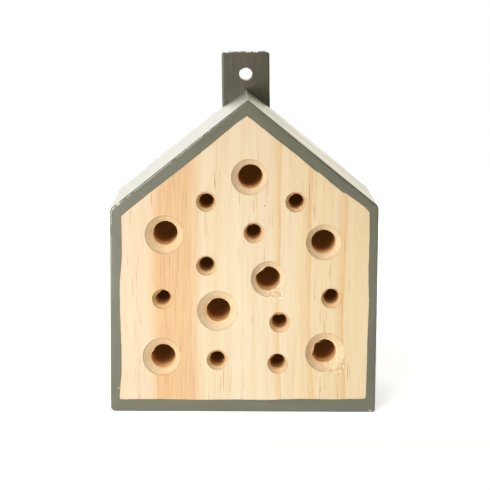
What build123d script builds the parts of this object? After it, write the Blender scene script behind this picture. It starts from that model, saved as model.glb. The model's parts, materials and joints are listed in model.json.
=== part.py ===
from build123d import *
from math import cos, radians, sin, tan
import os

# Insect hotel: a gable-ended pine block with blind nesting holes, hung by a lath on its back.
# Millimetres. +Z is up and the nesting holes open towards -Y. The origin is the middle of the
# footprint, on the surface that the block stands on.

# The block
block_width = 110
block_depth = 60
ridge_height = 130
ridge_offset = 1  # the ridge is sawn a little to the right of the middle
roof_pitch = 38.8  # degrees, the same on both slopes
eave_round = 1.5
corner_round = 0.6  # the ridge and the two long edges of the base
edge_round = 0.4  # the outlines of the front and the back

# Nesting holes, each given by its centre's x and z and its countersink's diameter.
# They are drilled and countersunk by hand, so the large countersinks differ in width.
hole_depth = 45
large_hole_diameter = 10
large_sink_angle = 90
large_holes = [
    (2.4, 98.4, 15),
    (-32.4, 74.7, 16),
    (32.7, 71.5, 15),
    (10, 56, 15),
    (-10.4, 42.5, 17),
    (-33.3, 23, 16),
    (33.5, 25.3, 17),
]
small_hole_diameter = 6
small_sink_angle = 40
small_sink_diameter = 8.6
small_holes = [
    (-15.5, 88.1),
    (21.3, 88.2),
    (3.9, 75.5),
    (-15.4, 61.7),
    (-33.4, 47.8),
    (36.1, 48.5),
    (14.9, 38.1),
    (-10.8, 21.9),
    (14.2, 20.9),
]

# The hanging slat, which leans a little to the left
slat_width = 21
slat_thickness = 8
slat_length = 90
slat_lean = 1  # degrees
slat_foot_x = 2.2
slat_foot_z = 56
slat_corner_round = 1.2
hang_hole_diameter = 6
hang_hole_drop = 9.7  # from the top of the slat to the middle of the hole

# The two screws that hold the slat, given by their distances up from its foot
screw_distances = [14, 50]
screw_length = 20
screw_diameter = 3.5
screw_root_diameter = 2.4
screw_head_diameter = 7
screw_head_angle = 90
screw_thread_pitch = 1.2
screw_tip_length = 3
screw_tip_flat = 0.3  # the diameter of the blunt end of the tip
recess_length = 3.8
recess_width = 0.9
recess_depth = 1.4
recess_taper = 12

front_y = -(block_depth + slat_thickness) / 2
back_y = front_y + block_depth
roof_slope = tan(radians(roof_pitch))
left_eave_height = ridge_height - roof_slope * (block_width / 2 + ridge_offset)
right_eave_height = ridge_height - roof_slope * (block_width / 2 - ridge_offset)
head_height = (screw_head_diameter - screw_diameter) / 2 / tan(radians(screw_head_angle / 2))
bite = screw_length - slat_thickness  # how far each screw goes into the block

lean = radians(slat_lean)
front_face = Plane.XZ.offset(-front_y)
# The slat's own x runs to the left as seen from the front, its y up along the slat, its z backwards
slat_back = Plane(
    origin=(slat_foot_x, back_y + slat_thickness, slat_foot_z),
    x_dir=(-cos(lean), 0, -sin(lean)),
    z_dir=(0, 1, 0),
)
slat_front = slat_back.offset(-slat_thickness)
screw_places = [(0, distance) for distance in screw_distances]

os.makedirs("parts", exist_ok=True)


# Nesting block: a house-shaped prism, drilled from the front and from the back
with BuildPart() as nesting_block:
    with BuildSketch(front_face) as gable:
        with BuildLine():
            Polyline(
                (-block_width / 2, 0),
                (block_width / 2, 0),
                (block_width / 2, right_eave_height),
                (ridge_offset, ridge_height),
                (-block_width / 2, left_eave_height),
                close=True,
            )
        make_face()
        fillet(gable.vertices().sort_by(Axis.Y)[2:4], radius=eave_round)
        sharp_corners = gable.vertices().group_by(Axis.Y)
        fillet(sharp_corners[0] + sharp_corners[-1], radius=corner_round)
    extrude(amount=-block_depth)
    outlines = nesting_block.faces().filter_by(Axis.Y).edges()
    fillet(outlines, radius=edge_round)
    for x, z, sink_diameter in large_holes:
        with Locations(front_face):
            with Locations((x, z)):
                CounterSinkHole(
                    large_hole_diameter / 2, sink_diameter / 2, hole_depth, large_sink_angle
                )
    with Locations(front_face):
        with Locations(*small_holes):
            CounterSinkHole(
                small_hole_diameter / 2, small_sink_diameter / 2, hole_depth, small_sink_angle
            )
    with Locations(slat_front):
        with Locations(*screw_places):
            Hole(screw_diameter / 2, depth=bite)
nesting_block.part.label = "nesting_block"
export_step(nesting_block.part, "parts/nesting_block.step")


# Hanging slat: a lath with one hanging hole near its top and two countersunk screw holes
with BuildPart() as hanging_slat:
    with BuildSketch(slat_back) as slat_outline:
        Rectangle(slat_width, slat_length, align=(Align.CENTER, Align.MIN))
        fillet(slat_outline.vertices().group_by(Axis.Y)[-1], radius=slat_corner_round)
        fillet(slat_outline.vertices().group_by(Axis.Y)[0], radius=corner_round)
    extrude(amount=-slat_thickness)
    slat_outlines = hanging_slat.faces().filter_by(Axis.Y).edges()
    fillet(slat_outlines, radius=edge_round)
    with Locations(slat_back):
        with Locations((0, slat_length - hang_hole_drop)):
            Hole(hang_hole_diameter / 2, depth=slat_thickness)
        with Locations(*screw_places):
            CounterSinkHole(
                screw_diameter / 2, screw_head_diameter / 2, slat_thickness, screw_head_angle
            )
hanging_slat.part.label = "hanging_slat"
export_step(hanging_slat.part, "parts/hanging_slat.step")


def screw_outline():
    """Half of a screw's section, as radius and height: head, neck, thread ridges and tip."""
    root = screw_root_diameter / 2
    crest = screw_diameter / 2
    neck_end = -slat_thickness
    tip_start = screw_tip_length - screw_length
    points = [(0, 0), (screw_head_diameter / 2, 0), (crest, -head_height), (crest, neck_end)]
    ridges = int((neck_end - tip_start) / screw_thread_pitch)
    for ridge in range(ridges):
        top = neck_end - ridge * screw_thread_pitch
        points.append((root, top - screw_thread_pitch / 3))
        points.append((root, top - screw_thread_pitch * 2 / 3))
        points.append((crest, top - screw_thread_pitch))
    points.append((root, tip_start))
    points.append((screw_tip_flat / 2, -screw_length))
    points.append((0, -screw_length))
    return points


# One countersunk wood screw with a cross recess, its head level with the XY plane
with BuildPart() as screw:
    with BuildSketch(Plane.XZ):
        with BuildLine():
            Polyline(*screw_outline(), close=True)
        make_face()
    revolve(axis=Axis.Z)
    with BuildSketch(Plane.XY):
        Rectangle(recess_length, recess_width)
        Rectangle(recess_width, recess_length)
    extrude(amount=-recess_depth, taper=recess_taper, mode=Mode.SUBTRACT)

# Slat screws: the two screws, driven from the back through the slat into the block
with BuildPart() as slat_screws:
    with Locations(slat_back):
        with Locations(*screw_places):
            add(screw.part)
slat_screws.part.label = "slat_screws"
export_step(slat_screws.part, "parts/slat_screws.step")
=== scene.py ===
import json
from dataclasses import dataclass
from math import ceil, cos, degrees, pi, radians, sin, tan

import bmesh
import bpy
import numpy as np
from mathutils import Matrix, Vector, noise
from mathutils.geometry import delaunay_2d_cdt


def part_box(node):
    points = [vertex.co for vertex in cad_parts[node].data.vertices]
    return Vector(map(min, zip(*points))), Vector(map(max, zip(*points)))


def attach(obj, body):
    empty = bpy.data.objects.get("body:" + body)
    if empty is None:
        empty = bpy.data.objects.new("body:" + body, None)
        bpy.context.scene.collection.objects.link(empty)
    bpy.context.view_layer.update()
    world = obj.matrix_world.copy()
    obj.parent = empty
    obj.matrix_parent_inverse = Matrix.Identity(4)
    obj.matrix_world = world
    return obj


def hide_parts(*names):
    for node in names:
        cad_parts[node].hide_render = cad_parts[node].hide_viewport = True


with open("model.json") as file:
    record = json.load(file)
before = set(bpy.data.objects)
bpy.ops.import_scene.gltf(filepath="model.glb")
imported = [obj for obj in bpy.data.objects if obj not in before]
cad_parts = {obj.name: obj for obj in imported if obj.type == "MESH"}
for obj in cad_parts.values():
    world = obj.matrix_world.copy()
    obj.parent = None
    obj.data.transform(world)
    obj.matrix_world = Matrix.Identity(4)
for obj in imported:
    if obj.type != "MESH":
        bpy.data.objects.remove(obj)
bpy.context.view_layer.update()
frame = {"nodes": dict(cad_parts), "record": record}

MM = 0.001

# ---------------------------------------------------------------- sizes, from the frame
block_low, block_high = (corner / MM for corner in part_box("nesting_block"))
slat_low, slat_high = (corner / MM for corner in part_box("hanging_slat"))
record = frame["record"]
openings = {opening["name"]: opening["box_m"] for opening in record["physics"]["openings"]}
mounts = {mount["name"]: Vector(mount["pos_m"]) / MM for mount in record["mounts"]}

front = block_low.y
back = block_high.y
paint_film = 0.12  # the paint stands this far proud of the bare wood
wood_front = front + paint_film

# The block's outline, as in the CAD model
roof_pitch = radians(38.8)
ridge_x = 1
ridge_height = 130
left_eave = ridge_height - tan(roof_pitch) * (ridge_x - block_low.x)
right_eave = ridge_height - tan(roof_pitch) * (block_high.x - ridge_x)
block_corners = [  # x, z and the rounding of each corner, counter-clockwise from the bottom left
    (block_low.x, 0, 0.5),
    (block_high.x, 0, 0.5),
    (block_high.x, right_eave, 2.2),
    (ridge_x, ridge_height, 0.6),
    (block_low.x, left_eave, 1.4),
]
block_sides = ["paint_level", "paint_upright", "roof_right", "roof_left", "paint_upright"]

# The nesting holes
large_radius = 5
small_radius = 3
hole_depth = 45
large_sink_slope = tan(radians(90 / 2))
small_sink_slope = tan(radians(40 / 2))

# The slat
slat_width = 21
slat_length = 90
slat_lean = radians(1)
hang_hole_radius = 3
hang_hole_drop = 9.7
screw_distances = [14, 50]  # up the slat from its foot
screw_radius = 1.75
screw_head_radius = 3.5
pilot_depth = 12


# ---------------------------------------------------------------- outlines
def turned(vector, angle):
    return Matrix.Rotation(angle, 2) @ vector


def outline(corners, inset=0.0, spacing=0.8, arc_steps=8):
    """A polygon with rounded corners, moved inwards by inset, as (x, z) points.

    Returns the points and the side that each point's stretch belongs to. Their number doesn't
    depend on the inset, so outlines with different insets can be joined point to point."""
    arcs = []
    for index, (x, z, rounding) in enumerate(corners):
        here = Vector((x, z))
        way_in = (here - Vector(corners[index - 1][:2])).normalized()
        way_out = (Vector(corners[(index + 1) % len(corners)][:2]) - here).normalized()
        inwards = turned(way_in, pi / 2)
        bisector = (inwards + turned(way_out, pi / 2)) / (1 + way_in.dot(way_out))
        radius = max(rounding - inset, 0.25)
        centre = here + bisector * (inset + radius)
        turn = way_out.angle_signed(way_in)
        steps = range(arc_steps + 1)
        arcs.append([centre - turned(inwards, turn * step / arc_steps) * radius for step in steps])
    points, sides = [], []
    for index, arc in enumerate(arcs):
        after = arcs[(index + 1) % len(arcs)]
        run = Vector(corners[(index + 1) % len(corners)][:2]) - Vector(corners[index][:2])
        steps = ceil(run.length / spacing)
        points += arc
        sides += [index - 1] * (arc_steps // 2) + [index] * (arc_steps - arc_steps // 2)
        points += [arc[-1].lerp(after[0], step / steps) for step in range(1, steps)]
        sides += [index] * steps
    return points, [side % len(corners) for side in sides]


def circle(x, z, radius, count):
    turns = [2 * pi * step / count for step in range(count)]
    return [Vector((x + radius * cos(turn), z + radius * sin(turn))) for turn in turns]


def inside(points, loop):
    """For each of an array of points, whether it lies inside a closed loop."""
    x, z = points[:, :1], points[:, 1:]
    a = np.array(loop, float)
    b = np.roll(a, -1, axis=0)
    crosses = (a[:, 1] > z) != (b[:, 1] > z)
    rise = np.where(b[:, 1] == a[:, 1], 1, b[:, 1] - a[:, 1])
    at = a[:, 0] + (z - a[:, 1]) * (b[:, 0] - a[:, 0]) / rise
    return (crosses & (x < at)).sum(1) % 2 == 1


def rough(x, y, z, size):
    """Smooth noise from about -1 to 1 whose lumps are about size mm across."""
    return noise.noise(Vector((x, y, z)) / size)


# ---------------------------------------------------------------- one closed piece
class Shell:
    """The points and faces of one closed piece, in mm, gathered before they become a mesh."""

    def __init__(self):
        self.points = []
        self.faces = []
        self.finishes = []

    def loop(self, flat_points, y):
        """Adds a closed loop of (x, z) points in the plane y and returns their numbers."""
        return self.bent_loop([(x, y, z) for x, z in flat_points])

    def bent_loop(self, points):
        first = len(self.points)
        self.points += [Vector(point) for point in points]
        return range(first, len(self.points))

    def flat(self, loop):
        return [(self.points[number].x, self.points[number].z) for number in loop]

    def face(self, numbers, finish):
        self.faces.append(tuple(numbers))
        self.finishes.append(finish)

    def skin(self, near, far, finishes):
        """A band of quads between two loops. finishes is one name, or a name for each quad."""
        for place in range(len(near)):
            following = (place + 1) % len(near)
            quad = (near[place], near[following], far[following], far[place])
            self.face(quad, finishes if isinstance(finishes, str) else finishes[place])

    def tube(self, loops, finishes):
        for near, far in zip(loops, loops[1:]):
            self.skin(near, far, finishes)

    def lid(self, loop, middle, finish):
        """Closes a loop with a fan to a middle point."""
        centre = len(self.points)
        self.points.append(Vector(middle))
        for place in range(len(loop)):
            self.face((loop[place], loop[(place + 1) % len(loop)], centre), finish)

    def fill(self, y, outer, holes, finish, spacing=None, sliver=1e-4):
        """Triangles in the plane y between an outer loop and the holes in it.

        finish is a name, or a function of an (x, z) place that returns one. Triangles of almost
        no area lie along the outer loop's straight stretches, outside it, and are left out."""
        loops = [outer, *holes]
        numbers = [number for loop in loops for number in loop]
        flat = [Vector((self.points[n].x, self.points[n].z)) for n in numbers]
        edges = []
        for loop in loops:
            first = len(edges)
            edges += [(first + k, first + (k + 1) % len(loop)) for k in range(len(loop))]
        if spacing:
            for place in self.spread(outer, holes, spacing):
                numbers.append(len(self.points))
                self.points.append(Vector((place[0], y, place[1])))
                flat.append(Vector(place))
        made, _, triangles, sources, _, _ = delaunay_2d_cdt(flat, edges, [], 0, 1e-6, True)
        if len(made) != len(flat):
            raise ValueError(f"the loops in the plane y = {y:g} mm cross or touch")
        corners = np.array([[made[k] for k in triangle] for triangle in triangles])
        middles = corners.mean(1)
        (ax, az), (bx, bz) = (corners[:, 1] - corners[:, 0]).T, (corners[:, 2] - corners[:, 0]).T
        kept = inside(middles, self.flat(outer)) & (abs(ax * bz - az * bx) > sliver)
        for hole in holes:
            kept &= ~inside(middles, self.flat(hole))
        for triangle, middle, keep in zip(triangles, middles, kept):
            if keep:
                name = finish(*middle) if callable(finish) else finish
                self.face([numbers[sources[k][0]] for k in triangle], name)

    def spread(self, outer, holes, spacing):
        """Places on a grid inside the outer loop that keep clear of every loop."""
        border = np.array([place for loop in (outer, *holes) for place in self.flat(loop)])
        low, high = border.min(0), border.max(0)
        columns = np.arange(low[0] + spacing, high[0], spacing)
        rows = np.arange(low[1] + spacing, high[1], spacing)
        shifts = [(k % 2) * spacing / 2 for k in range(len(rows))]
        grid = np.array([(x + shift, z) for shift, z in zip(shifts, rows) for x in columns])
        kept = inside(grid, self.flat(outer))
        for hole in holes:
            kept &= ~inside(grid, self.flat(hole))
        grid = grid[kept]
        nearest = np.array([((border - place) ** 2).sum(1).min() for place in grid])
        return grid[nearest > (spacing / 3) ** 2]

    def piece(self, name, finishes, sharp=35):
        """Makes the mesh object, with smooth shading across all but its sharp edges."""
        mesh = bpy.data.meshes.new(name)
        mesh.from_pydata([point * MM for point in self.points], [], self.faces)
        slots = list(finishes)
        for slot in slots:
            mesh.materials.append(finishes[slot])
        mesh.polygons.foreach_set("material_index", [slots.index(f) for f in self.finishes])
        mesh.polygons.foreach_set("use_smooth", [True] * len(self.faces))
        work = bmesh.new()
        work.from_mesh(mesh)
        bmesh.ops.recalc_face_normals(work, faces=work.faces)
        open_edges = [edge for edge in work.edges if not edge.is_manifold]
        if open_edges:
            raise ValueError(f"{name} isn't closed: {len(open_edges)} open edges")
        work.to_mesh(mesh)
        work.free()
        mesh.set_sharp_from_angle(angle=radians(sharp))
        made = bpy.data.objects.new(name, mesh)
        bpy.context.scene.collection.objects.link(made)
        return made


# ---------------------------------------------------------------- colours and node trees
def colour(red, green, blue):
    """A shader colour from 0 to 255 screen values."""
    shares = [value / 255 for value in (red, green, blue)]
    return [v / 12.92 if v <= 0.04045 else ((v + 0.055) / 1.055) ** 2.4 for v in shares] + [1]


class Shader:
    """A material's node tree, with a short call for each kind of node that the finishes use."""

    def __init__(self, name):
        self.material = bpy.data.materials.new(name)
        self.material.use_nodes = True
        self.tree = self.material.node_tree
        self.surface = next(n for n in self.tree.nodes if n.type == "BSDF_PRINCIPLED")
        coordinates = self.tree.nodes.new("ShaderNodeTexCoord").outputs["Object"]
        self.place = self.vector("SCALE", coordinates, scale=1 / MM)
        parts = self.add("ShaderNodeSeparateXYZ", self.place)
        self.x, self.y, self.z = parts.outputs

    def add(self, kind, *inputs, **settings):
        node = self.tree.nodes.new(kind)
        for setting, value in settings.items():
            setattr(node, setting, value)
        for socket, value in zip(node.inputs, inputs):
            self.feed(socket, value)
        return node

    def feed(self, socket, value):
        if isinstance(value, bpy.types.NodeSocket):
            self.tree.links.new(value, socket)
        else:
            socket.default_value = value

    def math(self, operation, *values, clamp=False):
        return self.add("ShaderNodeMath", *values, operation=operation, use_clamp=clamp).outputs[0]

    def vector(self, operation, *values, scale=None):
        node = self.add("ShaderNodeVectorMath", *values, operation=operation)
        if scale is not None:
            self.feed(node.inputs["Scale"], scale)
        return node.outputs["Value" if operation in ("DISTANCE", "DOT_PRODUCT") else "Vector"]

    def sum(self, *values):
        total = values[0]
        for value in values[1:]:
            total = self.math("ADD", total, value)
        return total

    def rise(self, value, low, high, to_low=0.0, to_high=1.0):
        """Goes from to_low to to_high as value goes from low to high, and stays level outside."""
        inputs = (value, low, high, to_low, to_high)
        return self.add("ShaderNodeMapRange", *inputs, clamp=True).outputs["Result"]

    def noise(self, stretch, detail=3.0, roughness=0.5, place=None, shift=(0, 0, 0)):
        """Noise from 0 to 1. stretch is how many lumps it has for each mm along X, Y and Z."""
        where = self.vector("MULTIPLY", place or self.place, stretch)
        where = self.vector("ADD", where, shift)
        node = self.add("ShaderNodeTexNoise", noise_dimensions="3D")
        self.feed(node.inputs["Vector"], where)
        self.feed(node.inputs["Scale"], 1.0)
        self.feed(node.inputs["Detail"], detail)
        self.feed(node.inputs["Roughness"], roughness)
        return node.outputs["Fac"]

    def ramp(self, value, stops):
        """A colour ramp whose stops are (value, colour)."""
        low, high = stops[0][0], stops[-1][0]
        node = self.add("ShaderNodeValToRGB", self.rise(value, low, high))
        elements = node.color_ramp.elements
        while len(elements) < len(stops):
            elements.new(0.5)
        for element, (at, shade) in zip(elements, stops):
            element.position = (at - low) / (high - low)
        for element, (at, shade) in zip(elements, stops):
            element.color = shade
        return node.outputs["Color"]

    def mix(self, share, base, over, blend="MIX"):
        node = self.add("ShaderNodeMix", data_type="RGBA", blend_type=blend)
        sockets = (node.inputs[0], node.inputs[6], node.inputs[7])  # the factor, A and B
        for socket, value in zip(sockets, (share, base, over)):
            self.feed(socket, value)
        return node.outputs[2]

    def bump(self, *layers):
        """Stacks layers of (height from 0 to 1, depth in mm) into one normal."""
        normal = None
        for height, depth in layers:
            node = self.add("ShaderNodeBump")
            self.feed(node.inputs["Height"], height)
            self.feed(node.inputs["Distance"], depth * MM)
            self.feed(node.inputs["Strength"], 1.0)
            if normal:
                self.feed(node.inputs["Normal"], normal)
            normal = node.outputs["Normal"]
        self.feed(self.surface.inputs["Normal"], normal)

    def finish(self, base, **sockets):
        """Sets the surface's colour and other sockets, such as coat_weight for "Coat Weight"."""
        self.feed(self.surface.inputs["Base Color"], base)
        for name, value in sockets.items():
            self.feed(self.surface.inputs[name.replace("_", " ").title()], value)
        return self.material


# ---------------------------------------------------------------- finishes
cream = colour(199, 184, 154)
left_cream = colour(192, 174, 145)
warm_cream = colour(196, 179, 146)
pale_right = colour(200, 181, 144)
peach = colour(190, 157, 114)
light_peach = colour(194, 167, 130)
deep_peach = colour(183, 147, 101)
stripe = colour(196, 163, 116)
light_stripe = colour(197, 172, 132)
resin_line = colour(168, 123, 79)
pore = colour(158, 108, 68)
bare_wood = colour(183, 158, 114)
brown_wash = colour(96, 74, 60)  # the slat's wood through its thin paint
hole_glow = [  # by depth: painted light, a glow that stands in for light bounced between the walls
    (0.2, [0, 0, 0, 1]),
    (1.2, [0.040, 0.024, 0.010, 1]),
    (2.4, [0.070, 0.032, 0.007, 1]),
    (5, [0.015, 0.007, 0.002, 1]),
    (9.5, [0.080, 0.038, 0.009, 1]),
    (14, [0.030, 0.011, 0.0025, 1]),
    (22, [0.025, 0.010, 0.002, 1]),
]
small_hole_glow = [  # the narrow countersinks catch more of it, the narrow bores less
    (0.2, [0, 0, 0, 1]),
    (1.2, [0.110, 0.055, 0.022, 1]),
    (3.2, [0.070, 0.030, 0.008, 1]),
    (5, [0.011, 0.005, 0.001, 1]),
    (9.5, [0.056, 0.024, 0.005, 1]),
    (14, [0.021, 0.007, 0.0015, 1]),
    (22, [0.017, 0.006, 0.001, 1]),
]
cut_wood = [0.57, 0.44, 0.27, 1]
orange_wood = [0.60, 0.43, 0.225, 1]  # cut in the narrow countersinks, made more orange as painted light bounced between their walls
bore_colour_and_shade = [  # by depth: pale at the mouth and darker further in, painted shade of the deep bore
    (2, [0.80, 0.59, 0.32, 1]),
    (6, [0.84, 0.57, 0.28, 1]),
    (10, [0.60, 0.34, 0.14, 1]),
    (16, [0.42, 0.22, 0.08, 1]),
]
# the torn crests: partly the fibres' own paler colour and partly painted highlight
fresh_tuft_and_highlight = [0.80, 0.70, 0.50, 1]
speck_brown = [0.05, 0.03, 0.02, 1]
top_painted_shade = [0.84, 0.80, 0.77, 1]  # painted shade: the wood is a little darker towards the ridge, where less light falls
# Where the countersink tore the grain: middle and radius
torn_grain = [((13.0, -33.5, 50.6), 4.6), ((38.0, -33.5, 20.0), 5.6), ((20.6, -33, 85.6), 2.2)]

speck_place, speck_radius = (8.2, -33.9, 86.6), 0.3  # a dark fleck on the wood

# Growth bands across the front: where each begins or ends along X, and its colour there. left_cream
# is painted a little darker than the wood's own tone, as painted shade that evens out the stronger
# light on the left
growth_bands = [
    (-55, left_cream), (-41, left_cream), (-38.4, light_peach), (-36.0, peach), (-33.6, peach),
    (-33.1, deep_peach), (-32.5, peach), (-26.4, peach), (-23.4, peach), (-20.8, light_peach),
    (-18.0, warm_cream), (-17.2, cream), (-12, warm_cream), (-4, cream), (3.8, cream),
    (4.1, light_stripe), (4.5, cream), (10.8, cream), (13.2, light_stripe), (14.5, stripe),
    (14.9, cream), (23.8, pale_right), (24.6, light_stripe), (25.0, pale_right),
    (26.2, light_stripe), (28.0, stripe), (28.4, pale_right), (37.4, pale_right),
    (39.5, light_stripe), (41.6, stripe), (42.0, pale_right), (55, pale_right),
]


def pine(name="pine", holes=True, cone=cut_wood, glow=hole_glow, bore_painted_shade=(1, 1, 1)):
    """Flat-sawn pine: growth bands up the front, fibres and flecks, and darker down its holes as
    painted shade, where they also glow as painted bounced light.

    Without holes, the finish doesn't change with depth behind the front."""
    s = Shader(name)
    wander = s.rise(s.noise((0.03, 0.012, 0.012), detail=2), 0.3, 0.7, -1.1, 1.1)
    spread = s.rise(s.z, 5, 40, 3.6, 0)  # the bands lean outwards towards the foot
    depth = s.math("SUBTRACT", s.y, front)
    across = s.sum(s.x, wander, s.math("MULTIPLY", spread, -0.5), s.math("MULTIPLY", depth, 0.12))
    # The peach band's left edge moves to the right towards the roof
    narrowing = s.math("MULTIPLY", s.rise(s.z, 70, 100, 0, 3), s.rise(s.x, -24, -30))
    across = s.math("SUBTRACT", across, narrowing)
    shade = s.ramp(across, growth_bands)
    # Grain, from fine fibres to broad bands, and dashes of resin that come in patches
    fibre = s.noise((2.6, 2.6, 0.045), detail=4, roughness=0.6)
    broad = s.noise((0.35, 0.35, 0.012), detail=3, shift=(7, 3, 5))
    fleck = s.noise((3.0, 3.0, 0.075), detail=1, shift=(2, 8, 4))
    patch = s.noise((0.10, 0.10, 0.03), detail=2, shift=(11, 1, 6))
    hairs = s.noise((4.5, 4.5, 0.06), detail=1, shift=(5, 0, 13))
    shade = s.mix(s.rise(broad, 0.42, 0.68, 0, 0.22), shade, deep_peach)
    shade = s.mix(s.rise(fibre, 0.52, 0.74, 0, 0.18), shade, resin_line)
    dashes = s.math("MULTIPLY", s.rise(fleck, 0.66, 0.73), s.rise(patch, 0.47, 0.57, 0.15, 1))
    in_peach = s.math("MULTIPLY", s.rise(across, -40, -37), s.rise(across, -18, -24))
    shade = s.mix(s.math("MULTIPLY", dashes, 0.9), shade, pore)
    streaks = s.math("MULTIPLY", s.rise(hairs, 0.56, 0.70), s.rise(in_peach, 0, 1, 0.10, 0.5))
    shade = s.mix(streaks, shade, pore)
    if not holes:
        s.bump((fibre, 0.035))
        return s.finish(shade, roughness=0.65)
    # The countersinks: freshly cut, with crumbs on them and torn tufts at three holes
    shade = s.mix(s.rise(depth, 0.15, 0.9, 0, 0.75), shade, cone)
    crumbs = s.noise((1.8, 1.8, 1.1), detail=4, roughness=0.7, shift=(3, 3, 8))
    cut_marks = s.math("MULTIPLY", s.rise(crumbs, 0.50, 0.66), s.rise(depth, 0.2, 1, 0, 0.35))
    shade = s.mix(cut_marks, shade, pore)
    tufts = s.noise((1.5, 1.5, 0.9), detail=3, roughness=0.75, shift=(2, 9, 4))
    for middle, radius in torn_grain:
        away = s.vector("DISTANCE", s.place, middle)
        there = s.math("MULTIPLY", s.rise(away, radius, radius * 0.6), s.rise(depth, 3.5, 2.5))
        # Painted shade in the torn hollows, and paler crests that are partly the torn fibres' own
        # colour and partly painted highlight
        hollows = s.math("MULTIPLY", there, s.rise(tufts, 0.50, 0.40, 0, 0.45))
        shade = s.mix(hollows, shade, pore)
        crests = s.math("MULTIPLY", there, s.rise(tufts, 0.54, 0.62, 0, 0.8))
        shade = s.mix(crests, shade, fresh_tuft_and_highlight)
    # The bores, darker with depth as painted shade, with rings left by the drill's feed, and a
    # darker line round each countersink's rim as painted shade
    rings = s.noise((0.05, 1.3, 0.05), detail=3, roughness=0.7, shift=(1, 6, 2))
    bored = s.mix(s.rise(rings, 0.45, 0.57, 0, 0.6), s.ramp(depth, bore_colour_and_shade), pore)
    # Painted shade: the narrow bores are darkened further, as less light reaches into them
    bored = s.mix(1.0, bored, [*bore_painted_shade, 1], blend="MULTIPLY")
    shade = s.mix(s.rise(depth, 2.6, 3.4), shade, bored)
    # Painted shade: a darker line just inside each countersink's rim, where its ragged edge shades
    # the cone
    rim = s.math("MULTIPLY", s.rise(depth, 0.13, 0.2), s.rise(depth, 0.65, 0.4))
    shade = s.mix(s.math("MULTIPLY", rim, s.rise(crumbs, 0.40, 0.60, 0.1, 0.5)), shade, pore)
    speck_away = s.vector("DISTANCE", s.place, speck_place)
    speck_share = s.rise(speck_away, speck_radius * 0.6, speck_radius, 1, 0)
    shade = s.mix(speck_share, shade, speck_brown)
    # Painted shade: darker towards the ridge
    shade = s.mix(s.rise(s.z, 40, 125), shade, top_painted_shade, blend="MULTIPLY")
    s.bump((fibre, 0.035), (s.noise((6, 6, 1.5), detail=2), 0.012))
    # Painted light: the countersinks and bores glow by depth, standing in for light bounced between
    # their walls
    glowing = s.ramp(depth, glow)
    return s.finish(shade, roughness=0.58, emission_color=glowing, emission_strength=1.0)


# Spots where the paint has come off: place and radius
paint_chips = [
    ((-51.8, -34, 87.3), 0.8),
    ((-53.9, -34, 85.2), 0.35),
    ((52.9, -34, 0.6), 0.5),
    ((-54.6, -34, 0.6), 0.5),
    ((-14.6, -34, 117.4), 0.35),
    ((-17.4, -34, 115.2), 0.3),
    ((-51.6, -34, 9.9), 0.35),
    ((51.2, -34, 47.2), 0.4),
]
chip_raggedness = 0.9  # how far, in mm, the edge of a chip strays

paint_dark = colour(74, 73, 55)
paint_light = colour(87, 86, 68)


def tinted(shade, tint):
    return [*(Vector(shade[:3]) * Vector(tint)), 1]


def paint(name, along, tint=(1, 1, 1), coat=0.7, coat_roughness=0.12, thin=0.0, dull_ridge=0.0,
          brown=0.0):
    """Grey-green paint brushed on along one direction, with bare wood where it is chipped.

    thin, dull_ridge and brown are shares from 0 to 1: how much gloss the thin streaks lose, how
    much more of it the ridge loses, and how much of the wood's brown shows in the bristle marks."""
    s = Shader(name)
    strokes = Vector(along).normalized()
    sideways = strokes.cross(Vector((0, 1, 0)))
    lengthways = s.vector("DOT_PRODUCT", s.place, strokes)
    crossways = s.vector("DOT_PRODUCT", s.place, sideways)
    place = s.add("ShaderNodeCombineXYZ", lengthways, crossways, s.y).outputs[0]
    bristle = s.noise((0.05, 2.2, 2.2), detail=4, roughness=0.65, place=place)
    stroke = s.noise((0.03, 0.35, 0.35), detail=3, place=place, shift=(4, 1, 9))
    cloud = s.noise((0.06, 0.06, 0.06), detail=3)
    grain = s.noise((3, 3, 3), detail=3)
    cover = s.sum(s.math("MULTIPLY", bristle, 0.45), s.math("MULTIPLY", stroke, 0.35),
                  s.math("MULTIPLY", cloud, 0.2))
    shade = s.mix(s.rise(cover, 0.36, 0.64), tinted(paint_dark, tint), tinted(paint_light, tint))
    if brown:
        shade = s.mix(s.rise(bristle, 0.47, 0.60, 0, brown), shade, brown_wash)
    if thin:
        streaks = s.noise((0.015, 0.24, 0.24), detail=5, roughness=0.7, place=place,
                          shift=(8, 2, 5))
        shade = s.mix(s.rise(streaks, 0.44, 0.64, 0, 0.1 * thin), shade, bare_wood)
        coat = s.rise(streaks, 0.40, 0.62, coat, coat * (1 - thin))
        ridge_gloss = s.rise(s.z, ridge_height - 20, ridge_height, 1, 1 - dull_ridge)
        coat = s.math("MULTIPLY", coat, ridge_gloss)
    for chip, radius in paint_chips:
        raggedness = s.add("ShaderNodeTexNoise", s.place).outputs["Color"]
        ragged = s.vector("ADD", s.place, s.vector("SCALE", raggedness, scale=chip_raggedness))
        away = s.vector("DISTANCE", ragged, Vector(chip) + Vector([chip_raggedness / 2] * 3))
        shade = s.mix(s.rise(away, radius - 0.1, radius + 0.1, 0.9, 0), shade, bare_wood)
    s.bump((stroke, 0.05), (bristle, 0.03), (grain, 0.012))
    return s.finish(shade, roughness=0.42, coat_weight=coat, coat_roughness=coat_roughness)


def zinc(name="zinc"):
    """Bright zinc plating with faint turning marks."""
    s = Shader(name)
    marks = s.noise((1.5, 9, 1.5), detail=3)
    dull = s.noise((0.8, 0.8, 0.8), detail=3, shift=(5, 2, 1))
    shade = s.mix(dull, colour(196, 196, 192), colour(222, 222, 220))
    s.bump((marks, 0.015))
    return s.finish(shade, metallic=1.0, roughness=0.32)


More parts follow.
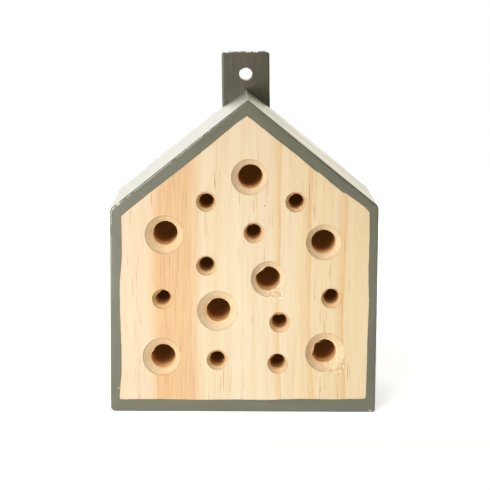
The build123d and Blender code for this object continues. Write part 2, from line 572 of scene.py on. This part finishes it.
uphill_right = (-cos(roof_pitch), 0, sin(roof_pitch))
uphill_left = (cos(roof_pitch), 0, sin(roof_pitch))
roof_gloss = 0.34  # roughness of the roof's coat
finishes = {
    "pine": pine(),
    # The narrow holes: a more orange countersink as painted bounced light, and a darker bore as
    # painted shade
    "small_bore": pine("small_bore", cone=orange_wood, glow=small_hole_glow,
                       bore_painted_shade=(0.70, 0.64, 0.60)),
    "bare_pine": pine("bare_pine", holes=False),
    "paint_level": paint("paint_level", (1, 0, 0)),
    "paint_upright": paint("paint_upright", (0, 0, 1)),
    "paint_right_slope": paint("paint_right_slope", uphill_right),
    "paint_left_slope": paint("paint_left_slope", uphill_left),
    # The roof slopes are the same paint as the sides; their lighter tints, warmer on the right
    # slope, are painted light
    "roof_right": paint("roof_right", uphill_right, tint=(1.2, 1.15, 1.0), coat=1.0,
                        coat_roughness=roof_gloss, thin=0.7, dull_ridge=0.35),
    "roof_left": paint("roof_left", uphill_left, tint=(1.2, 1.2, 1.1), coat=1.0,
                       coat_roughness=roof_gloss, thin=0.25),
    "paint_slat": paint("paint_slat", (0, 0, 1), tint=(0.59, 0.56, 0.49), coat=0.4, thin=0.2,
                        brown=0.3),
}


# ---------------------------------------------------------------- nesting block
@dataclass
class Mouth:
    """How one hand-drilled hole meets the front. Directions are in degrees, 0 to the right."""

    sink: float  # the countersink's diameter at the front
    shift: tuple  # from the middle of the drilled hole to the middle of the countersink, x and z
    flaps: tuple = ()  # slivers left standing at the mouth: (direction, how far each reaches in)
    torn: tuple = ()  # torn grain on the countersink: (direction, height)
    chatter: float = 0.0  # height of the marks that a chattering countersink leaves
    teeth: float = 0.3  # how far the edge of a sliver is splintered


large_mouths = [
    Mouth(15.0, (-0.5, 0.0), torn=((320, 0.10),)),
    Mouth(16.2, (-0.3, -0.3), chatter=0.07, torn=((150, 0.12),)),
    Mouth(14.9, (0.1, 0.1), torn=((300, 0.10),)),
    Mouth(15.0, (0.25, 0.2), flaps=((130, 0.7),), torn=((300, 0.7),)),
    Mouth(16.9, (-0.4, 0.2), flaps=((140, 0.12),), torn=((240, 0.16),)),
    Mouth(16.1, (-0.4, 0.2), flaps=((150, 0.3),), torn=((275, 0.18),)),
    Mouth(16.8, (0.5, 0.1), flaps=((158, 0.75), (126, 0.5)), torn=((290, 0.85), (130, 0.4)),
          teeth=1.1),
]
small_mouths = [
    Mouth(8.3, (-0.2, 0.1), torn=((300, 0.12),)),
    Mouth(8.6, (-0.3, 0.0), flaps=((300, 0.25), (130, 0.15)), torn=((260, 0.25),)),
    Mouth(8.7, (0.1, -0.1), flaps=((110, 0.15),), torn=((280, 0.12),)),
    Mouth(8.4, (-0.1, -0.1), torn=((330, 0.12),)),
    Mouth(8.6, (-0.1, -0.2), flaps=((135, 0.6),), torn=((290, 0.2),)),
    Mouth(8.6, (0.0, -0.2), flaps=((140, 0.3),), torn=((290, 0.15),)),
    Mouth(8.7, (0.0, -0.1), flaps=((95, 0.4),), torn=((300, 0.3),), teeth=0.6),
    Mouth(8.6, (-0.1, 0.1), torn=((200, 0.12),)),
    Mouth(8.6, (0.0, -0.3), flaps=((135, 0.3),), torn=((300, 0.2),)),
]
wall_depths = [0.09, 0.13, 0.18, 0.25, 0.34, 0.46, 0.62, 0.82, 0.995]  # shares of the hole's depth
cone_steps = 10
rim_margin = 0.7  # the ring of flat wood round a countersink that belongs to its hole
sliver_thickness = 0.25
sliver_root = 0.6  # from the mouth to where the slivers are nearly level with the wall
wall_start = 0.9  # from the mouth to the plain wall
floor_round = 0.25  # where the wall meets the floor
floor_rise = 0.05  # the middle of the floor is this much nearer to the front


def gap(a, b):
    """The angle between two directions, in degrees, from 0 to 180."""
    return abs((a - b + 180) % 360 - 180)


def nesting_hole(shell, x, z, radius, slope, mouth, count):
    """Adds one blind hole, from its rim on the wood to its floor. Returns the loop round it.

    slope is how fast the countersink narrows, as radius for each mm of depth."""
    seed = 3.7 * x + z
    sink_x, sink_z = x + mouth.shift[0], z + mouth.shift[1]
    sink_radius = mouth.sink / 2
    cone_depth = (sink_radius - radius) / slope
    turns = [2 * pi * step / count for step in range(count)]
    around = shell.loop(circle(sink_x, sink_z, sink_radius + rim_margin, count), wood_front)

    def ring(share, lift, depth):
        """A loop round the cone. share is 0 at the rim and 1 at the mouth, and lift(turn, share)
        is how far the wood stands in from the true cone."""
        middle_x = sink_x + (x - sink_x) * share
        middle_z = sink_z + (z - sink_z) * share
        size = sink_radius + (radius - sink_radius) * share
        loop = []
        for turn in turns:
            reach = size - lift(turn, share)
            loop.append((middle_x + reach * cos(turn), front + depth, middle_z + reach * sin(turn)))
        return shell.bent_loop(loop)

    # The five that follow are lifts for ring
    def ragged(turn, share):
        along, up = sink_radius * cos(turn), sink_radius * sin(turn)
        return 0.10 * rough(along, seed, up, 1.6) + 0.10 * max(0, rough(along, seed + 9, up, 0.6))

    def tool_marks(turn, share):
        along, up = sink_radius * cos(turn), sink_radius * sin(turn)
        height = 0.05 * rough(along, seed, up, 1.3) + 0.03 * rough(along, seed + share * 4, up, 0.5)
        height += mouth.chatter * sin(turn * 44) * (gap(degrees(turn), 140) < 70) * (1 - share)
        for direction, torn in mouth.torn:
            window = max(0, 1 - gap(degrees(turn), direction) / 55) * (0.3 + 0.7 * share)
            tufts = rough(along * 1.1, seed + share * 9, up * 1.1, 0.55)
            lumps = rough(along, seed - share * 5, up, 1.3)
            height += torn * window * (0.4 + tufts + 0.7 * lumps)
        return height

    def lip(turn, share):
        """Slivers across the mouth: each is a chord with a toothed edge."""
        along, up = radius * cos(turn), radius * sin(turn)
        reach = 0.05 * rough(along, seed, up, 0.9) + 0.3 * tool_marks(turn, 1) - 0.05
        for direction, depth in mouth.flaps:
            off = radians(gap(degrees(turn), direction))
            if off < pi / 3:
                chord = radius - (radius - depth) / cos(off)
                teeth = mouth.teeth * rough(along, seed + 20, up, 0.5)
                reach = max(reach, chord + teeth if chord > -0.05 else reach)
        return max(reach, -0.1)

    def sunk_lip(turn, share):
        return 0.35 * lip(turn, share)

    def bored(turn, share):
        along, up = radius * cos(turn), radius * sin(turn)
        return 0.035 * rough(along, seed + 31, up, 0.9)

    loops = [around, ring(0, ragged, paint_film), ring(0.03, ragged, paint_film + 0.12)]
    for step in range(1, cone_steps):
        share = step / cone_steps
        loops.append(ring(share, tool_marks, paint_film + cone_depth * share))
    mouth_depth = paint_film + cone_depth
    loops.append(ring(1, lip, mouth_depth))
    loops.append(ring(1, lip, mouth_depth + sliver_thickness))
    loops.append(ring(1, sunk_lip, mouth_depth + sliver_root))
    for share in wall_depths:
        loops.append(ring(1, bored, max(share * hole_depth, mouth_depth + wall_start + share)))
    floor_y = front + hole_depth
    loops.append(shell.loop(circle(x, z, radius - floor_round, count), floor_y))
    loops.append(shell.loop(circle(x, z, radius * 0.4, count), floor_y - floor_rise))
    walls = "pine" if radius == large_radius else "small_bore"  # the countersink and the bore
    shell.tube(loops[:2], "pine")
    shell.tube(loops[1:], walls)
    shell.lid(loops[-1], (x, floor_y - floor_rise, z), walls)
    return around


# The paint's edge on the front: (x, z) counter-clockwise from the bottom left
brushed_edge = [
    (-51.2, 5.0), (-35, 5.2), (-20, 4.9), (-4, 5.1), (10, 5.0), (24, 5.5), (38, 5.3), (50.8, 5.7),
    (51.1, 6.6), (51.3, 18), (51.4, 30), (51.7, 47), (51.3, 60), (51.5, 74), (51.3, 84.2),
    (49.6, 86.2), (41.5, 92.0), (40.2, 92.4), (30.5, 100.4), (29.4, 100.8), (21, 107.8),
    (12, 114.7), (4.4, 120.8), (0.8, 123.5),
    (-3.4, 120.6), (-14, 111.6), (-26, 101.8), (-38, 92.4), (-47.5, 84.7), (-50.5, 82.0),
    (-50.3, 74), (-50.3, 64), (-51.1, 55), (-51.2, 46), (-50.8, 33), (-50.5, 18), (-51.1, 10),
    (-51.4, 6.2),
]


def brushed_line(step=0.6, wobble=0.10):
    """The paint's edge with points every step mm and the small wobble of a brush."""
    line = []
    for index, here in enumerate(brushed_edge):
        here, after = Vector(here), Vector(brushed_edge[(index + 1) % len(brushed_edge)])
        steps = max(1, round((after - here).length / step))
        sideways = turned((after - here).normalized(), pi / 2)
        for k in range(steps):
            point = here.lerp(after, k / steps)
            shake = rough(point.x, 4.2, point.y, 2.5) + 0.5 * rough(point.x, 8.1, point.y, 0.9)
            line.append(point + sideways * wobble * shake)
    return line


def moved_in(line, distance):
    """A closed line moved inwards by a short distance, point by point."""
    made = []
    for index, point in enumerate(line):
        along = line[(index + 1) % len(line)] - line[index - 1]
        made.append(point + turned(along.normalized(), pi / 2) * distance)
    return made


def border_finish(x, z):
    """Which way the brush went at a place on the front border: along the nearest side."""
    rise = tan(roof_pitch)
    to_sides = {
        "paint_level": z,
        "paint_upright": min(x - block_low.x, block_high.x - x),
        "paint_left_slope": (ridge_height - z - rise * (ridge_x - x)) * cos(roof_pitch),
        "paint_right_slope": (ridge_height - z - rise * (x - ridge_x)) * cos(roof_pitch),
    }
    return min(to_sides, key=to_sides.get)


# Knocks in the corners: place, radius and how far the wood is pushed in
dents = [
    ((-55, -34, 0), 1.7, 0.55),
    ((55, -34, 0), 1.2, 0.25),
    ((-54.6, -34, 85.4), 1.6, 0.3),
    ((-51.8, -34, 87.4), 1.2, 0.2),
    ((55, 26, 0), 1.6, 0.4),
    ((1, -34, 130), 1.0, 0.25),
]


def knocked(point):
    """Where a point of the block ends up after the knocks."""
    inwards = (Vector((0, -4, 60)) - point).normalized()
    push = 0.0
    for place, radius, depth in dents:
        near = max(0, 1 - (point - Vector(place)).length / radius)
        push += depth * near * near * (3 - 2 * near)
    return point + inwards * push


rounding_angles = (0, 30, 60, 90)


def rings_between(low, high, edge, margin, depths):
    """(inset, y) of the loops along a slab from y = low to y = high, whose edges are rounded.

    Each end starts with a loop on the flat face, margin mm inside the outline."""
    quarter = [(1 - sin(radians(a)), 1 - cos(radians(a))) for a in rounding_angles]
    rings = [(margin, low)] + [(inset * edge, low + run * edge) for inset, run in quarter]
    rings += [(0, low + (high - low) * step / depths) for step in range(1, depths)]
    rings += [(inset * edge, high - run * edge) for inset, run in reversed(quarter)]
    return rings + [(margin, high)]


def nesting_block():
    shell = Shell()
    side_finishes = [block_sides[side] for side in outline(block_corners)[1]]
    edge = 0.32  # the rounding where the front and the back meet the sides
    loops = []
    for inset, y in rings_between(front, back, edge, 1.0, ceil((back - front) / 2.5)):
        points = outline(block_corners, inset)[0]
        wear = 0.09 if 0 < inset < 0.4 else 0.02  # the rounded edges are rubbed more than the rest
        inner = outline(block_corners, inset + 1)[0]
        worn = []
        for point, towards in zip(points, inner):
            amount = wear * (1 + rough(point.x, y, point.y, 1.8))
            worn.append(point if inset >= edge else point.lerp(towards, amount))
        loops.append(shell.loop(worn, y))
    faced = {"roof_right": "paint_right_slope", "roof_left": "paint_left_slope"}
    near_front = len(rounding_angles) + 1  # the loops up to where the front's rounding ends
    shell.tube(loops[:near_front], [faced.get(name, name) for name in side_finishes])
    shell.tube(loops[near_front - 1:], side_finishes)

    # The paint ends in a small step down to the wood
    painted_edge = brushed_line()
    paint_loop = shell.loop(painted_edge, front)
    film_loop = shell.loop(moved_in(painted_edge, 0.05), front + 0.04)
    wood_loop = shell.loop(moved_in(painted_edge, 0.12), wood_front)
    wood_support = shell.loop(moved_in(painted_edge, 0.35), wood_front)
    shell.tube([paint_loop, film_loop], border_finish_of(shell, paint_loop))
    shell.tube([film_loop, wood_loop], border_finish_of(shell, paint_loop))
    shell.tube([wood_loop, wood_support], "pine")
    shell.fill(front, loops[0], [paint_loop], border_finish, spacing=2.0)

    # The nesting holes, where the frame has them, with count points in each loop
    rims = []
    for kind, mouths, radius, slope, count in (
        ("large", large_mouths, large_radius, large_sink_slope, 168),
        ("small", small_mouths, small_radius, small_sink_slope, 120),
    ):
        for number, mouth in enumerate(mouths, start=1):
            low, high = openings[f"{kind}_hole_{number}"]
            x, z = (low[0] + high[0]) / 2 / MM, (low[2] + high[2]) / 2 / MM
            rims.append(nesting_hole(shell, x, z, radius, slope, mouth, count))
    shell.fill(wood_front, wood_support, rims, "pine", spacing=3.0)

    # The screws' pilot holes in the back
    pilots = []
    for x, z in (on_slat(0, distance) for distance in screw_distances):
        around = shell.loop(circle(x, z, screw_radius + 0.4, 40), back)
        rim = shell.loop(circle(x, z, screw_radius, 40), back)
        wall = shell.loop(circle(x, z, screw_radius, 40), back - pilot_depth + 0.2)
        shell.skin(around, rim, "paint_upright")
        shell.skin(rim, wall, "bare_pine")
        shell.lid(wall, (x, back - pilot_depth, z), "bare_pine")
        pilots.append(around)
    shell.fill(back, loops[-1], pilots, "paint_upright", spacing=5.0)

    shell.points = [knocked(point) for point in shell.points]
    return shell.piece("drilled_block", {k: finishes[k] for k in finishes if k != "paint_slat"})


def border_finish_of(shell, loop):
    return [border_finish(*place) for place in shell.flat(loop)]


# ---------------------------------------------------------------- hanging slat
def on_slat(across, up):
    """A place on the slat as x and z: across from its middle line and up from its foot."""
    foot_x = mounts["hang_hole"].x + (slat_length - hang_hole_drop) * sin(slat_lean)
    foot_z = mounts["hang_hole"].z - (slat_length - hang_hole_drop) * cos(slat_lean)
    return (
        foot_x + across * cos(slat_lean) - up * sin(slat_lean),
        foot_z + across * sin(slat_lean) + up * cos(slat_lean),
    )


def hanging_slat():
    shell = Shell()
    half = slat_width / 2
    corners = [  # across, up and the rounding of each corner
        (-half, 0, 0.6),
        (half, 0, 0.6),
        (half, slat_length, 1.6),
        (-half, slat_length, 1.3),
    ]
    slat_front, slat_back = slat_low.y, slat_high.y
    ragged_zone = 1.5  # how far in from its edges the slat is uneven

    def sawn(x, y, z):
        """The saw's ragged cut across the top, and the slightly uneven long edges."""
        fibres = rough(x, y * 0.04, 3.3, 0.85) + 0.6 * rough(x, y * 0.1, 7.7, 2.1)
        top = max(0, 1 - (slat_length - z) / ragged_zone) * max(0, 0.26 + 0.5 * fibres)
        side = 0.06 * (1 + rough(x, y, z, 4)) * (1 if x > 0 else -1)
        return x - side * (abs(x) > half - ragged_zone), z - top

    loops = []
    for inset, y in rings_between(slat_front, slat_back, edge=0.5, margin=1.1, depths=6):
        points = [sawn(x, y, z) for x, z in outline(corners, inset, spacing=0.3)[0]]
        loops.append(shell.loop([on_slat(x, z) for x, z in points], y))
    shell.tube(loops, "paint_slat")

    front_rims, back_rims = [], []

    def bore(up, profile, count, rag):
        """A hole through the slat, up mm above its foot.

        profile is (radius, y, finish of the band after it), count is the number of points in a
        loop and rag is how ragged the mouths are."""
        x, z = on_slat(0, up)
        made = []
        for radius, y, _ in profile:
            loop = []
            for step in range(count):
                turn = 2 * pi * step / count
                along, high = radius * cos(turn), radius * sin(turn)
                fine = rough(along, y * 0.2 + up, high, 0.8)
                burr = rag * (fine + 0.6 * rough(along, up, high, 2.2))
                near_face = min(abs(y - slat_front), abs(y - slat_back)) < 0.8
                on_wall = radius < 3.2  # and not on the flat wood round a hole
                if rag and y - slat_front < 0.5 and on_wall:
                    burr += 0.12 + 0.38 * max(0, sin(turn)) ** 3  # more of it at the hole's top
                reach = radius - (burr if near_face and on_wall else burr * 0.2)
                loop.append((x + reach * cos(turn), z + reach * sin(turn)))
            made.append(shell.loop(loop, y))
        for band, (near, far) in enumerate(zip(made, made[1:])):
            shell.skin(near, far, profile[band][2])
        front_rims.append(made[0])
        back_rims.append(made[-1])

    r = hang_hole_radius
    bore(slat_length - hang_hole_drop, [
        (r + 0.7, slat_front, "paint_slat"), (r + 0.05, slat_front, "bare_pine"),
        (r - 0.06, slat_front + 0.35, "bare_pine"), (r, slat_front + 1.2, "bare_pine"),
        (r, slat_back - 1.2, "bare_pine"), (r, slat_back - 0.3, "bare_pine"),
        (r + 0.1, slat_back, "paint_slat"), (r + 0.7, slat_back, "paint_slat"),
    ], count=120, rag=0.26)
    neck_depth = screw_head_radius - screw_radius
    for distance in screw_distances:
        bore(distance, [
            (screw_radius + 0.5, slat_front, "paint_slat"),
            (screw_radius, slat_front, "bare_pine"),
            (screw_radius, slat_back - neck_depth, "bare_pine"),
            (screw_head_radius, slat_back, "paint_slat"),
            (screw_head_radius + 0.5, slat_back, "paint_slat"),
        ], count=64, rag=0.0)
    shell.fill(slat_front, loops[0], front_rims, "paint_slat", spacing=2.0)
    shell.fill(slat_back, loops[-1], back_rims, "paint_slat", spacing=2.0)
    return shell.piece("painted_lath", {k: finishes[k] for k in ("paint_slat", "bare_pine")})


# ---------------------------------------------------------------- the pieces
block = nesting_block()
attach(block, "root")
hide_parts("nesting_block")

slat = hanging_slat()
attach(slat, "root")
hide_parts("hanging_slat")

screws = frame["nodes"]["slat_screws"]
screws.data.materials.clear()
screws.data.materials.append(zinc())


# ---------------------------------------------------------------- floor, light and camera
def floor():
    """A white floor that glows a little, so that it shows only a faint shadow."""
    mesh = bpy.data.meshes.new("studio_floor")
    reach = 0.8
    corners = [(-reach, -reach, 0), (reach, -reach, 0), (reach, reach, 0), (-reach, reach, 0)]
    mesh.from_pydata(corners, [], [(0, 1, 2, 3)])
    made = bpy.data.objects.new("studio_floor", mesh)
    bpy.context.scene.collection.objects.link(made)
    s = Shader("studio_white")
    # It glows fully far behind the block, about half as much under it and least in front of it
    lit = s.math("MULTIPLY", s.rise(s.y, 80, 300, 0.55, 1.0), s.rise(s.y, -80, -40, 0.4, 1))
    white = [1, 1, 1, 1]
    shade = [0.85, 0.85, 0.85, 1]
    finish = s.finish(shade, roughness=0.9, emission_color=white, emission_strength=lit)
    mesh.materials.append(finish)


def studio_sky():
    """A bright wall behind, nothing on the other sides, and plain white to the camera."""
    world = bpy.data.worlds.new("studio")
    world.use_nodes = True
    tree = world.node_tree
    direction = tree.nodes.new("ShaderNodeTexCoord").outputs["Generated"]
    split = tree.nodes.new("ShaderNodeSeparateXYZ")
    tree.links.new(direction, split.inputs[0])

    def level(axis, low, high, to_low, to_high):
        """Goes from to_low to to_high as the direction along axis goes from low to high."""
        node = tree.nodes.new("ShaderNodeMapRange")
        tree.links.new(split.outputs[axis], node.inputs["Value"])
        ends = {"From Min": low, "From Max": high, "To Min": to_low, "To Max": to_high}
        for socket, value in ends.items():
            node.inputs[socket].default_value = value
        return node.outputs["Result"]

    behind = level("Y", 0.2, 0.8, 0.0, 1.85)
    ray = tree.nodes.new("ShaderNodeLightPath").outputs["Is Camera Ray"]
    choose = tree.nodes.new("ShaderNodeMix")
    tree.links.new(ray, choose.inputs["Factor"])
    tree.links.new(behind, choose.inputs["A"])
    choose.inputs["B"].default_value = 1.0
    background = next(n for n in tree.nodes if n.type == "BACKGROUND")
    tree.links.new(choose.outputs["Result"], background.inputs["Strength"])
    # The wall is a little warmer on the right. A colour mix has its colours A and B in 6 and 7
    wall = tree.nodes.new("ShaderNodeMix")
    wall.data_type = "RGBA"
    tree.links.new(level("X", -0.12, 0.12, 0, 1), wall.inputs[0])
    wall.inputs[6].default_value = (1, 0.985, 0.91, 1)
    wall.inputs[7].default_value = (0.98, 0.93, 0.79, 1)
    tint = tree.nodes.new("ShaderNodeMix")
    tint.data_type = "RGBA"
    tree.links.new(ray, tint.inputs[0])
    tree.links.new(wall.outputs[2], tint.inputs[6])
    tint.inputs[7].default_value = (1, 1, 1, 1)
    tree.links.new(tint.outputs[2], background.inputs["Color"])
    bpy.context.scene.world = world


def soft_light(name, place, target, size, power):
    """A round area light aimed at target. size is its diameter in m and power is in watts."""
    lamp = bpy.data.lights.new(name, "AREA")
    lamp.shape = "DISK"
    lamp.size = size
    lamp.energy = power
    made = bpy.data.objects.new(name, lamp)
    made.location = place
    made.rotation_euler = (Vector(target) - Vector(place)).to_track_quat("-Z", "Y").to_euler()
    bpy.context.scene.collection.objects.link(made)


def camera():
    """Looks slightly down at the front from 0.77 m away, with a long lens."""
    data = bpy.data.cameras.new("camera")
    data.sensor_width = 36
    data.lens = 134.1
    made = bpy.data.objects.new("camera", data)
    made.location = (-0.008, -0.7726, 0.1924)
    made.rotation_euler = (radians(80.62), radians(-0.4), radians(-0.58))
    bpy.context.scene.collection.objects.link(made)
    bpy.context.scene.camera = made


floor()
studio_sky()
soft_light("key", (-0.23, -0.34, 0.12), target=(-0.05, -0.04, 0.05), size=0.3, power=1.62)
soft_light("front", (-0.25, -0.7, 0.52), target=(0, -0.03, 0.06), size=0.3, power=2.35)
soft_light("overhead", (-0.1, -0.55, 0.9), target=(0, 0, 0.05), size=0.6, power=3.3)
camera()
bpy.context.scene.view_settings.view_transform = "Standard"
